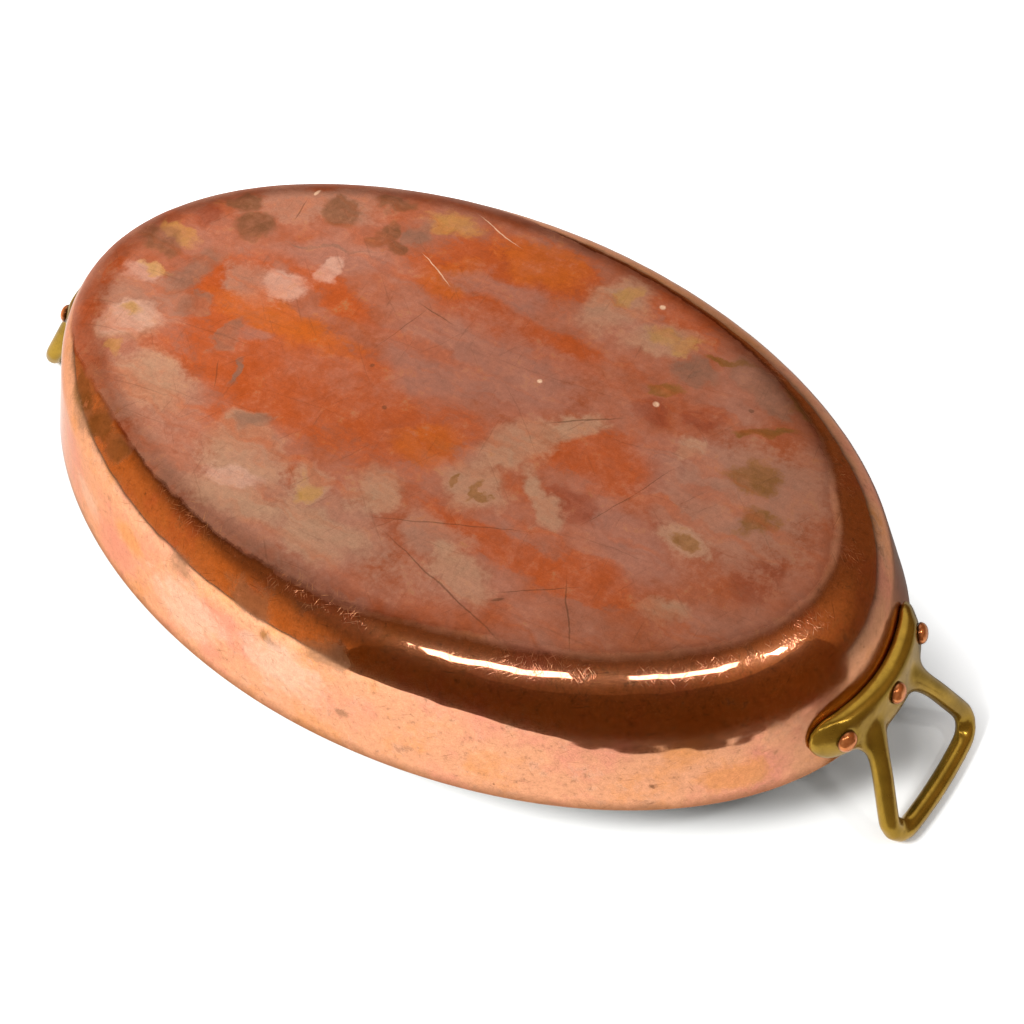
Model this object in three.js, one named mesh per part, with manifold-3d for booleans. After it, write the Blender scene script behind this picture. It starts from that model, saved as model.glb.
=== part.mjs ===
// Oval copper gratin pan, tin lined, with two cast brass loop handles held by copper rivets.
// Millimetres, +Z up. The pan lies upside down, base up, and stands on its handle loops.
// The long side runs along X, and X = Y = 0 is the middle of the oval.

import * as THREE from "three";
import { mergeVertices } from "three/addons/utils/BufferGeometryUtils.js";
import Module from "manifold-3d";

// Pan body
const rimLength = 400;
const rimWidth = 255.5;
const ovalPower = 1.954;
const panDepth = 54;
const wallLean = THREE.MathUtils.degToRad(16.8);
const cornerRadius = 30;
const copperThickness = 2;
const rimRound = 0.6;

// Tin lining
const tinThickness = 0.5;

// Clearance between pieces that touch
const seatGap = 0.3;

// Handle plate, as seen along X, with heights above the rim
const plateSpan = 73;
const lobeRadius = 9.2;
const lobeHeight = 13.6;
const plateTop = 22.8;
const plateFoot = 1;
const plateFootSpan = 40;
const plateEdgeThickness = 2.3;
const plateCrown = 4.9;
const crownPower = 7;
const plateEdgeRound = 1.7;
const tipThinning = 0.12;

// Handle loop
const loopReach = 23.5;
const loopDrop = 29.3;
const loopSpan = 64.6;
const loopCornerRound = 7.5;
const barBow = 1.45;
const barRadius = 3.9;
const rootRadius = 6.3;
const rootLength = 22;
const rootSpread = 21;
const rootHeight = 13;
const neckSpread = 32;
const neckHeight = 0;
const neckStandOff = 9;
const legBendShare = 0.35;

// Rivets
const rivetInset = 11.2; // from the tip of the plate to the outer rivet
const rivetHeight = 13.8;
const shankRadius = 2.6;
const headRadius = 4.2;
const headHeight = 3;
const peenRadius = 4.6;
const peenHeight = 1.4;
const peenShoulderRadius = 3.2;
const peenShoulderHeight = 1.1;
const spotFaceDepth = 0.5;

// Facets
const girthSteps = 80;
const cornerSteps = 6;
const barSides = 12;
const loopSteps = 42;
const plateSteps = 48;
const edgeSteps = 3;
const faceSteps = 5;
const rivetSides = 16;
const domeSteps = 5;
const slopeStep = 0.05;
const joinTolerance = 1e-4;
const cleanTolerance = 2e-3;

const halfLength = rimLength / 2;
const halfWidth = rimWidth / 2;
const rivetSpacing = plateSpan / 2 - rivetInset;
const cornerInset = (panDepth - cornerRadius) * Math.tan(wallLean) + cornerRadius / Math.cos(wallLean);
const cornerCentreHeight = panDepth - cornerRadius;
const flatHalfWidth = halfWidth - cornerInset;
const liningOffset = -(copperThickness + seatGap);
const innerOffset = liningOffset - tinThickness;
const facetTurn = (2 * Math.PI) / barSides;

const copper = new THREE.MeshStandardMaterial({ color: 0xb8683f, roughness: 0.32, metalness: 1 });
const tin = new THREE.MeshStandardMaterial({ color: 0xb9b8b2, roughness: 0.45, metalness: 1 });
const brass = new THREE.MeshStandardMaterial({ color: 0x8a742c, roughness: 0.3, metalness: 1 });
const rivetCopper = new THREE.MeshStandardMaterial({ color: 0xb5643c, roughness: 0.28, metalness: 1 });

const wasm = await Module();
wasm.setup();

// Booleans
function weld(geometry, tolerance) {
  const bare = new THREE.BufferGeometry();
  bare.setAttribute("position", geometry.getAttribute("position"));
  bare.setIndex(geometry.index);
  const merged = mergeVertices(bare, tolerance);
  const index = merged.index.array;
  const kept = [];
  for (let i = 0; i < index.length; i += 3) {
    const [a, b, c] = index.slice(i, i + 3);
    if (a !== b && b !== c && c !== a) kept.push(a, b, c);
  }
  merged.setIndex(kept);
  return merged;
}

function solidOf(geometry) {
  const welded = weld(geometry, joinTolerance);
  return new wasm.Manifold(
    new wasm.Mesh({
      numProp: 3,
      vertProperties: welded.getAttribute("position").array,
      triVerts: new Uint32Array(welded.index.array),
    }),
  );
}

function geometryOf(solid) {
  const mesh = solid.getMesh();
  const geometry = new THREE.BufferGeometry();
  geometry.setAttribute("position", new THREE.BufferAttribute(mesh.vertProperties, 3));
  geometry.setIndex(new THREE.BufferAttribute(mesh.triVerts, 1));
  const welded = weld(geometry, cleanTolerance);
  welded.computeVertexNormals();
  return welded;
}

function moveVertices(geometry, move) {
  const position = geometry.getAttribute("position");
  const point = new THREE.Vector3();
  for (let i = 0; i < position.count; i += 1) {
    point.fromBufferAttribute(position, i);
    move(point);
    position.setXYZ(i, point.x, point.y, point.z);
  }
  return geometry;
}

// Pan wall: heights are above the rim, and an offset is measured outwards from the outer face
function wallInset(height) {
  const rise = height - cornerCentreHeight;
  if (rise <= cornerRadius * Math.sin(wallLean)) return height * Math.tan(wallLean);
  return cornerInset - Math.sqrt(Math.max(0, cornerRadius ** 2 - rise ** 2));
}

function wallPoint(y, height) {
  const inset = wallInset(height);
  const a = halfLength - inset;
  const b = halfWidth - inset;
  const x = a * (1 - Math.abs(y / b) ** ovalPower) ** (1 / ovalPower);
  return new THREE.Vector3(x, y, height);
}

function wallNormal(y, height) {
  const along = wallPoint(y + slopeStep, height).sub(wallPoint(y - slopeStep, height));
  const up = wallPoint(y, height + slopeStep).sub(wallPoint(y, height - slopeStep));
  return along.cross(up).normalize();
}

function offWall(y, height, offset) {
  return wallPoint(y, height).addScaledVector(wallNormal(y, height), offset);
}

// Half section of a face that lies the given offset outside the wall, from the rim to the middle of the base
function faceProfile(offset, lowest) {
  const points = [];
  const wallRadius = (height) => halfWidth - height * Math.tan(wallLean) + offset / Math.cos(wallLean);
  points.push(new THREE.Vector2(wallRadius(lowest), lowest));
  const radius = cornerRadius + offset;
  for (let i = 0; i <= cornerSteps; i += 1) {
    const angle = THREE.MathUtils.lerp(wallLean, Math.PI / 2, i / cornerSteps);
    const inset = cornerInset - radius * Math.cos(angle);
    points.push(new THREE.Vector2(halfWidth - inset, cornerCentreHeight + radius * Math.sin(angle)));
  }
  points.push(new THREE.Vector2(0, panDepth + offset));
  return points;
}

// A round turned about Z, drawn out along X into the oval
function ovalTurned(profile) {
  const turned = new THREE.LatheGeometry(profile, girthSteps, Math.PI / 2 + Math.PI / girthSteps);
  turned.rotateX(Math.PI / 2);
  return moveVertices(turned, (point) => {
    const radius = Math.hypot(point.x, point.y);
    if (radius === 0) return;
    const stretch = (halfLength - halfWidth) * Math.min(1, radius / flatHalfWidth);
    const fullness = (share) => Math.sign(share) * Math.abs(share) ** (2 / ovalPower);
    point.x = (radius + stretch) * fullness(point.x / radius);
    point.y = radius * fullness(point.y / radius);
  });
}

function wallShell() {
  const outer = faceProfile(0, 0);
  const inner = faceProfile(-copperThickness, 0);
  const rim = [
    new THREE.Vector2(inner[0].x + rimRound, 0),
    new THREE.Vector2(outer[0].x - rimRound, 0),
  ];
  outer[0].set(outer[0].x - rimRound * Math.tan(wallLean), rimRound);
  inner[0].set(inner[0].x - rimRound * Math.tan(wallLean), rimRound);
  return ovalTurned([...inner.reverse(), ...rim, ...outer]);
}

function liningShell() {
  const outer = faceProfile(liningOffset, 0);
  const inner = faceProfile(innerOffset, 0);
  return ovalTurned([...inner.reverse(), ...outer]);
}

// Everything inside the wall's outer face plus the seat gap, used to fit a handle to the wall
function wallCutter() {
  const face = faceProfile(seatGap, -loopDrop);
  return ovalTurned([new THREE.Vector2(0, -loopDrop), ...face]);
}

// Handle plate: two rounded lobes and a straight top, crowned along its middle and bent round the wall
function plateOutline() {
  const lobeCentre = plateSpan / 2 - lobeRadius;
  const footHalf = plateFootSpan / 2;
  const shape = new THREE.Shape();
  shape.moveTo(0, plateFoot);
  shape.lineTo(footHalf, plateFoot);
  shape.quadraticCurveTo(footHalf, lobeHeight - lobeRadius, lobeCentre, lobeHeight - lobeRadius);
  shape.absarc(lobeCentre, lobeHeight, lobeRadius, -Math.PI / 2, Math.PI / 2, false);
  shape.quadraticCurveTo(footHalf, plateTop, 0, plateTop);
  shape.quadraticCurveTo(-footHalf, plateTop, -lobeCentre, lobeHeight + lobeRadius);
  shape.absarc(-lobeCentre, lobeHeight, lobeRadius, Math.PI / 2, Math.PI * 1.5, false);
  shape.quadraticCurveTo(-footHalf, lobeHeight - lobeRadius, -footHalf, plateFoot);
  shape.lineTo(0, plateFoot);
  return shape;
}

function plateCrownAt(share) {
  return plateCrown * (1 - share ** crownPower);
}

// The plate thins towards its tips, from the outer rivets on
function plateTaper(y) {
  return 1 - tipThinning * THREE.MathUtils.smoothstep(Math.abs(y), rivetSpacing, plateSpan / 2);
}

function plateGeometry() {
  const buried = -copperThickness / 2;
  const middle = new THREE.Vector2(0, lobeHeight);
  const outline = plateOutline().getSpacedPoints(plateSteps);
  const shoulder = plateEdgeThickness - plateEdgeRound;
  const profile = [new THREE.Vector2(0, buried), new THREE.Vector2(1, buried)];
  for (let i = 0; i <= edgeSteps; i += 1) {
    const angle = ((Math.PI / 2) * i) / edgeSteps;
    profile.push(new THREE.Vector2(1, shoulder + plateEdgeRound * Math.sin(angle)));
  }
  for (let i = faceSteps - 1; i >= 0; i -= 1) {
    profile.push(new THREE.Vector2(i / faceSteps, plateEdgeThickness));
  }
  const round = new THREE.LatheGeometry(profile, plateSteps);
  return moveVertices(round, (point) => {
    const share = Math.hypot(point.x, point.z);
    const turn = Math.atan2(point.x, point.z) / (2 * Math.PI);
    const spoke = outline[Math.round((turn + 1) * plateSteps) % plateSteps].clone().sub(middle);
    const rise = THREE.MathUtils.clamp((point.y - shoulder) / plateEdgeRound, 0, 1);
    const inset = plateEdgeRound * (1 - Math.sqrt(1 - rise ** 2));
    const reach = share * (1 - inset / spoke.length());
    const spot = spoke.multiplyScalar(reach).add(middle);
    const lift = point.y + rise * plateCrownAt(reach);
    point.copy(offWall(spot.x, spot.y, lift > 0 ? lift * plateTaper(spot.x) : lift));
  });
}

// Handle loop: a bar that leaves the plate in two flared roots and closes in a rounded stirrup
function cornerRound(before, corner, after) {
  const back = before.clone().sub(corner).normalize();
  const onward = after.clone().sub(corner).normalize();
  const opening = back.angleTo(onward);
  const arm = loopCornerRound / Math.tan(opening / 2);
  const pull = arm - (4 / 3) * Math.tan((Math.PI - opening) / 4) * loopCornerRound;
  const along = (direction, distance) => corner.clone().addScaledVector(direction, distance);
  return new THREE.CubicBezierCurve3(along(back, arm), along(back, pull), along(onward, pull), along(onward, arm));
}

function loopPath() {
  const end = halfLength + loopReach;
  const half = (side) => [
    offWall((side * rootSpread) / 2, rootHeight, 0),
    offWall((side * neckSpread) / 2, neckHeight, neckStandOff),
    new THREE.Vector3(end, (side * loopSpan) / 2, -loopDrop),
  ];
  const [rootA, neckA, cornerA] = half(-1);
  const [rootB, neckB, cornerB] = half(1);
  const bow = new THREE.Vector3(end + 2 * barBow, 0, -loopDrop);
  const roundA = cornerRound(neckA, cornerA, bow);
  const roundB = cornerRound(bow, cornerB, neckB);
  const bendA = neckA.clone().lerp(roundA.v0, legBendShare);
  const bendB = neckB.clone().lerp(roundB.v3, legBendShare);
  const path = new THREE.CurvePath();
  path.add(new THREE.QuadraticBezierCurve3(rootA, neckA, bendA));
  path.add(new THREE.LineCurve3(bendA, roundA.v0));
  path.add(roundA);
  path.add(new THREE.QuadraticBezierCurve3(roundA.v3, bow, roundB.v0));
  path.add(roundB);
  path.add(new THREE.LineCurve3(roundB.v3, bendB));
  path.add(new THREE.QuadraticBezierCurve3(bendB, neckB, rootB));
  return path;
}

// The section is held against a line two facets from upright, close to square to the loop, so that the bar
// doesn't twist at its corners and still rests on a facet
function loopGeometry() {
  const path = loopPath();
  const length = path.getLength();
  const bar = new THREE.CylinderGeometry(1, 1, 1, barSides, loopSteps);
  bar.rotateY(facetTurn / 2);
  const held = new THREE.Vector3(Math.sin(2 * facetTurn), 0, Math.cos(2 * facetTurn));
  return moveVertices(bar, (point) => {
    const share = THREE.MathUtils.clamp(0.5 + point.y, 0, 1);
    const centre = path.getPointAt(share);
    const along = path.getTangentAt(share);
    const lift = held.clone().addScaledVector(along, -held.dot(along)).normalize();
    const aside = along.clone().cross(lift);
    const fromRoot = Math.min(share, 1 - share) * length;
    const flare = 1 - THREE.MathUtils.smoothstep(fromRoot, 0, rootLength);
    const radius = THREE.MathUtils.lerp(barRadius, rootRadius, flare);
    point.set(
      centre.x + radius * (point.x * aside.x + point.z * lift.x),
      centre.y + radius * (point.x * aside.y + point.z * lift.y),
      centre.z + radius * (point.x * aside.z + point.z * lift.z),
    );
  });
}

// Rivets
const innerEndRadius = halfWidth ** 2 / halfLength - cornerRadius;
const peenSag = peenRadius ** 2 / (2 * innerEndRadius);
const peenSeat = innerOffset - seatGap - peenSag;
const rivetPlaces = { near: -rivetSpacing, middle: 0, far: rivetSpacing };

function spotFace(y) {
  return plateEdgeThickness + plateCrownAt(Math.abs(y) / (plateSpan / 2)) - spotFaceDepth;
}

function rivetGeometry(y) {
  const headSeat = spotFace(y) + seatGap;
  const dome = (headRadius ** 2 + headHeight ** 2) / (2 * headHeight);
  const widest = Math.asin(headRadius / dome);
  const profile = [
    new THREE.Vector2(0, peenSeat - peenHeight),
    new THREE.Vector2(peenShoulderRadius, peenSeat - peenShoulderHeight),
    new THREE.Vector2(peenRadius, peenSeat),
    new THREE.Vector2(shankRadius, peenSeat),
    new THREE.Vector2(shankRadius, headSeat),
    new THREE.Vector2(headRadius, headSeat),
  ];
  for (let i = 1; i <= domeSteps; i += 1) {
    const angle = widest * (1 - i / domeSteps);
    const fall = dome * (1 - Math.cos(angle));
    profile.push(new THREE.Vector2(dome * Math.sin(angle), headSeat + headHeight - fall));
  }
  return new THREE.LatheGeometry(profile, rivetSides).rotateX(Math.PI / 2);
}

// Shank hole through lining, wall and plate, widened above the plate's spot face for the head
function rivetHole(y) {
  const shankHole = shankRadius + seatGap;
  const headHole = headRadius + seatGap;
  const profile = [
    new THREE.Vector2(0, peenSeat - peenHeight),
    new THREE.Vector2(shankHole, peenSeat - peenHeight),
    new THREE.Vector2(shankHole, spotFace(y)),
    new THREE.Vector2(headHole, spotFace(y)),
    new THREE.Vector2(headHole, spotFace(y) + headHeight),
    new THREE.Vector2(0, spotFace(y) + headHeight),
  ];
  return new THREE.LatheGeometry(profile, rivetSides).rotateX(Math.PI / 2);
}

function setOnWall(object, y) {
  object.position.copy(wallPoint(y, rivetHeight));
  object.quaternion.setFromUnitVectors(new THREE.Vector3(0, 0, 1), wallNormal(y, rivetHeight));
  return object;
}

function drilled(solid, ends) {
  let result = solid;
  for (const turn of ends) {
    for (const y of Object.values(rivetPlaces)) {
      const place = setOnWall(new THREE.Object3D(), y);
      place.updateMatrix();
      const hole = rivetHole(y).applyMatrix4(place.matrix).rotateZ(turn);
      result = result.subtract(solidOf(hole));
    }
  }
  return result;
}

function handleGeometry() {
  const cast = solidOf(plateGeometry()).add(solidOf(loopGeometry()));
  const seated = cast.subtract(solidOf(wallCutter()));
  return geometryOf(drilled(seated, [0]));
}

function named(name, geometry, material) {
  const mesh = new THREE.Mesh(geometry, material.clone());
  mesh.name = name;
  return mesh;
}

const handleEnds = { right: 0, left: Math.PI };
const bothEnds = Object.values(handleEnds);

const handle = handleGeometry();
handle.computeBoundingBox();

const pan = new THREE.Group();
pan.position.z = -handle.boundingBox.min.z;
pan.add(named("pan_body", geometryOf(drilled(solidOf(wallShell()), bothEnds)), copper));
pan.add(named("tin_lining", geometryOf(drilled(solidOf(liningShell()), bothEnds)), tin));

for (const [end, turn] of Object.entries(handleEnds)) {
  const fitting = new THREE.Group();
  fitting.rotation.z = turn;
  fitting.add(named(`handle_${end}`, handle, brass));
  for (const [place, y] of Object.entries(rivetPlaces)) {
    fitting.add(setOnWall(named(`rivet_${end}_${place}`, rivetGeometry(y), rivetCopper), y));
  }
  pan.add(fitting);
}

const assembly = new THREE.Group();
assembly.add(pan);

export default assembly;
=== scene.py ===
# Oval copper gratin pan lying upside down on its two brass handles
import math

import bmesh
import bpy
from mathutils import Matrix, Vector, noise


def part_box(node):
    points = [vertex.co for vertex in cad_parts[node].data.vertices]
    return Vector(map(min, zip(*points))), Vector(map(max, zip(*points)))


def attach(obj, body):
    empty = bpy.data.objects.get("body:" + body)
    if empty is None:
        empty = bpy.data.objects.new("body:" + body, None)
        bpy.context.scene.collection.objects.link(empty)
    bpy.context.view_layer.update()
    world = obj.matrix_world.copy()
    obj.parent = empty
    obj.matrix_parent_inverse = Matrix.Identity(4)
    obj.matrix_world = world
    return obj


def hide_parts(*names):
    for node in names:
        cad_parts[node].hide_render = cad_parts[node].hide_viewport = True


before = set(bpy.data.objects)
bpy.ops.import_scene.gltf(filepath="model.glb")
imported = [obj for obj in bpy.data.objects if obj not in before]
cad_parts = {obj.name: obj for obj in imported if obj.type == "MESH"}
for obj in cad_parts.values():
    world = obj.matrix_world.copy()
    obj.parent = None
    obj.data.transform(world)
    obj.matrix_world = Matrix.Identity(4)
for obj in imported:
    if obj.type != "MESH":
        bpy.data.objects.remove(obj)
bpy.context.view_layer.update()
scene = bpy.context.scene
scene.view_settings.view_transform = "Standard"
mm = 0.001
mergeReach = 1e-6


def linearColour(hexText):
    parts = [int(hexText[i:i + 2], 16) / 255 for i in (1, 3, 5)]
    return tuple(c / 12.92 if c <= 0.04045 else ((c + 0.055) / 1.055) ** 2.4 for c in parts) + (1.0,)


# Adds a node with its settings. An input given as a node is linked to that node's first output in use.
def addNode(tree, kind, inputs=None, **settings):
    node = tree.nodes.new(kind)
    for key, value in settings.items():
        setattr(node, key, value)
    for key, value in (inputs or {}).items():
        if isinstance(value, bpy.types.Node):
            value = next(socket for socket in value.outputs if socket.enabled)
        if isinstance(value, bpy.types.NodeSocket):
            tree.links.new(value, node.inputs[key])
        else:
            node.inputs[key].default_value = value
    return node


def startMaterial(name):
    material = bpy.data.materials.new(name)
    material.use_nodes = True
    tree = material.node_tree
    tree.nodes.clear()
    output = tree.nodes.new("ShaderNodeOutputMaterial")
    return material, tree, output


def placeMesh(name, bm, material):
    mesh = bpy.data.meshes.new(name)
    bm.to_mesh(mesh)
    bm.free()
    mesh.materials.append(material)
    piece = bpy.data.objects.new(name, mesh)
    scene.collection.objects.link(piece)
    return piece


def finishPiece(name, bm, material, node):
    piece = placeMesh(name, bm, material)
    for face in piece.data.polygons:
        face.use_smooth = True
    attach(piece, "root")
    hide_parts(node)
    return piece


# Camera: the photograph's place and lens, solved from the pan's outline
view = dict(turn=41.023, lift=52.241, distance=0.697807, roll=-6.352, target=(0.028648, -0.000202),
            lens=36 * 1700 / 1024, sensor=36)
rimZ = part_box("pan_body")[0][2]
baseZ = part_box("pan_body")[1][2]


def aim(turn, lift):
    a, e = math.radians(turn), math.radians(lift)
    return Vector((math.sin(a) * math.cos(e), -math.cos(a) * math.cos(e), math.sin(e)))


camera = bpy.data.objects.new("camera", bpy.data.cameras.new("camera"))
scene.collection.objects.link(camera)
scene.camera = camera
camera.data.lens = view["lens"]
camera.data.sensor_width = view["sensor"]
back = aim(view["turn"], view["lift"])
right = Vector((math.cos(math.radians(view["turn"])), math.sin(math.radians(view["turn"])), 0))
turned = Matrix((right, back.cross(right), back)).transposed() @ Matrix.Rotation(math.radians(view["roll"]), 3, "Z")
place = back * view["distance"] + Vector((*view["target"], rimZ))
camera.matrix_world = Matrix.Translation(place) @ turned.to_4x4()
print("camera set")


# Copper, spun and planished: a warm mirror on the wall, a patchy matt skin of patina on the base
copperLook = dict(
    bright="#F2AA80", blush="#EE987E", honey="#EE9E60", straw="#F4C2A4", tarnish="#A87858", edgeTint="#F0D4C4",
    ground="#AE5A36", rose="#B87860", orange="#BC5420", amber="#CC6416", mauve="#AE7460", red="#964428", veil="#B4826A",
    pale="#CA9C7C", chalk="#E0B09A", ochre="#C89446", brown="#845638", grey="#8E6854", olive="#94622A",
    soot="#5A3A24", glint="#F8CCA8", scuff="#EEA868",
    wallRoughness=0.035, polishSpread=0.025, hazeRoughness=0.28, hazeShare=0.2, dullRoughness=0.17, stainRoughness=0.18,
    scuffRoughness=0.3, baseRoughness=0.4, mattSpread=0.12, baseFilm=0.62, stainFilm=0.82, scuffFilm=0.5,
    stainEdge=0.3, edgeDarkness=0.28, hairDarkness=0.2, crease=66.0 * mm,
)

# Patina on the base, layer over layer. Each stain is its middle (x, y), half length and half width in mm, and its turn
# in degrees. soft is the width of its edge, ragged and streaked how far two noises move that edge.
patinaLayers = [
    dict(colour="orange", strength=0.85, soft=0.34, ragged=0.5, streaked=0.9, reach="zone", stains=[
        (-51, -22, 72, 27, 2), (-18, 68, 40, 18, 18), (-5, 45, 32, 9, 10), (25, 42, 12, 15, 0),
        (-114, -2, 12, 21, -8), (-82, 20, 32, 6, -3), (54, -49, 28, 10, 4), (93, -45, 20, 11, 10),
        (55, 87, 22, 7, -10), (70, 6, 24, 11, 12), (-118, 52, 16, 5, 35), (-160, -22, 4, 10, 15)]),
    dict(colour="amber", strength=0.7, soft=0.5, ragged=0.5, streaked=0.8, reach="zone", stains=[
        (-80, -3, 36, 10, 0), (-36, 56, 14, 9, 40), (8, -22, 16, 8, 0), (-10, 78, 20, 9, -12)]),
    dict(colour="mauve", strength=0.85, soft=0.5, ragged=0.4, streaked=0.9, reach="zone", stains=[
        (2, 22, 46, 22, 4), (-8, 8, 40, 9, 6), (-86, 36, 30, 9, 25), (96, -18, 26, 12, -20), (-85, -14, 10, 4, 0),
        (-14, 60, 24, 8, 4), (100, 22, 20, 14, 20)]),
    dict(colour="red", strength=0.75, soft=0.35, ragged=0.6, streaked=0.3, reach="spot", stains=[
        (72, 37, 8, 8, 0), (73, -18, 10, 8, -30), (92, 46, 8, 6, 30), (106, 4, 9, 16, -10), (148, -6, 8, 12, 0),
        (-152, 28, 5, 8, 20)]),
    # The veil stains along the left of the front edge (y about -70 to -97 mm) are pale film and also painted light,
    # lifting the edge that turns away from the lamps
    dict(colour="veil", strength=0.8, soft=0.45, ragged=0.7, streaked=0.4, reach="zone", stains=[
        (126, 18, 30, 34, 20), (-12, -76, 62, 15, 2), (-104, -59, 24, 14, -20), (37, -56, 16, 8, 0),
        (-112, 58, 30, 12, 32), (-110, 6, 9, 7, 0), (-140, -25, 20, 14, 20), (-24, -97, 34, 10, 2),
        (-76, -86, 26, 11, -14), (-116, -70, 24, 11, -28)]),
    dict(colour="pale", strength=0.8, soft=0.5, ragged=0.5, streaked=0.4, reach="spot", stains=[
        (-47, -66, 18, 14, -16), (-60, -53, 9, 6, 20), (-16, -63, 8, 9, 0), (6, -51, 10, 12, 20),
        (36, -30, 13, 10, -8), (38, -6, 20, 10, 62), (52, 14, 14, 5, 48), (60, -20, 14, 4, -36), (69, -25, 8, 5, -25),
        (29, 78, 12, 16, -10), (55, 71, 16, 8, 32), (57, -65, 14, 8, -18), (45, -59, 5, 5, 0), (-36, -84, 22, 7, 4),
        (2, -86, 16, 6, 0), (-136, -38, 13, 11, 30), (117, -8, 12, 6, 10), (128, -38, 9, 5, 30),
        (-106, -56, 18, 11, -10), (0, -76, 20, 7, 0), (95, 30, 4, 8, -10)]),
    dict(colour="chalk", strength=0.75, soft=0.4, ragged=0.4, streaked=0.0, reach="spot", stains=[
        (-95, 14, 11, 8, -15), (-84, 31, 5, 7, 0), (-46, -76, 12, 5, 6), (-150, -12, 9, 5, 10),
        (-137, -36, 14, 9, 25)]),
    dict(colour="ochre", strength=0.7, soft=0.5, ragged=0.6, streaked=0.0, reach="spot", stains=[
        (-16, -65, 5, 5, 0), (-140, -33, 5, 3, 20), (-148, -9, 8, 3, 5), (66, 74, 7, 3, 35), (-131, -52, 5, 2, -20),
        (-155, 14, 12, 3, -15), (30, 84, 4, 6, -20), (-58, 80, 12, 7, 10), (55, 73, 8, 5, 25)]),
    dict(colour="brown", strength=0.85, soft=0.3, ragged=0.5, streaked=0.0, reach="spot", stains=[
        (-101, 61, 11, 8, -25), (-77, 60, 6, 8, 10), (-68, 55, 6, 4, 10), (-129, 34, 11, 8, 15), (-143, 43, 7, 7, 0),
        (-158, 6, 13, 8, -8), (-85, 78, 9, 5, 15)]),
    dict(colour="grey", strength=0.75, soft=0.4, ragged=0.7, streaked=0.2, reach="spot", stains=[
        (-132, -3, 8, 16, 0), (-119, -15, 7, 7, 0), (-96, -20, 4, 10, 5), (-66, 66, 6, 7, 0), (-80, -34, 2, 8, 20),
        (75, 64, 10, 7, 0), (102, 70, 18, 7, -28), (-93, 41, 20, 1.0, 25), (-57, -51, 8, 4, 20)]),
    dict(colour="olive", strength=0.9, soft=0.4, ragged=0.8, streaked=0.0, reach="spot", stains=[
        (122, 30, 10, 7, 32), (134, 13, 5, 9, -30), (115, 51, 13, 3, 33), (109, 46, 5, 3, 60), (70, 50, 8, 4, 20),
        (118, -8, 6, 3, 20), (122, 70, 13, 3, -28), (147, 55, 12, 4, -40), (30, -30, 1.6, 4, 0), (39, -31, 2, 4, 10),
        (42, -32, 3, 1.5, 0), (85, 75, 10, 2, 20)]),
    dict(colour="soot", strength=0.55, soft=0.5, ragged=0.0, streaked=0.0, reach="line", stains=[
        (55, -73, 31, 0.35, -13), (100, -58, 15, 0.3, -54), (54, 20, 14, 0.35, 38), (40, -49, 30, 0.25, 26),
        (84, -55, 14, 0.25, 35), (89, -2, 20, 0.2, 70), (-30, 34, 9, 0.3, -8), (-37, 20, 14, 0.2, 80),
        (-118, 52, 6, 0.3, -75), (-16, -17, 1, 1, 0), (-34, -2, 0.9, 0.9, 0), (104, 58, 1.1, 0.9, 0),
        (74, -66, 2.4, 0.7, 45), (-85, -40, 7, 0.3, -55)]),
    # Painted glints: bright dots and short scratch lines, whose catch of the light is painted in as a pale colour
    dict(colour="glint", strength=0.9, soft=0.5, ragged=0.0, streaked=0.0, reach="line", stains=[
        (46, 87, 1.2, 1.1, 0), (72, 41, 1.4, 1.3, 0), (27, 27, 1, 1, 0), (-37, 87, 13, 0.25, -14),
        (-46, 54, 10, 0.25, -24), (-119, 65, 0.8, 2, 10)]),
]


# Marks on the wall and its rounded edge: middle (x, y, z) and radius in mm, and colour
wallMarks = [
    (4, -117, 68, 5, "olive"), (9, -117, 66, 3, "brown"), (-6, -112, 77, 9, "tarnish"), (30, -112, 73, 8, "tarnish"),
    (-40, -109, 71, 8, "tarnish"), (-120, -80, 78, 10, "tarnish"), (-77, -108, 60, 9, "honey"),
    (-20, -118, 60, 12, "blush"), (95, -103, 50, 2, "tarnish"), (62, -113, 45, 4, "tarnish"),
    (150, -78, 45, 2, "brown"), (40, -120, 50, 3, "tarnish"), (11, -119, 57, 17, "straw"),
    (-38, -118, 54, 18, "straw"), (-133, -68, 82, 11, "olive"), (-112, -81, 82, 9, "olive"),
    (-97, -88, 82, 7, "olive"), (-88, -109, 46, 16, "blush"), (-130, -87, 58, 12, "blush"),
    (-112, -97, 50, 10, "straw"), (172, -60, 46, 12, "honey"),
]


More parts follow.
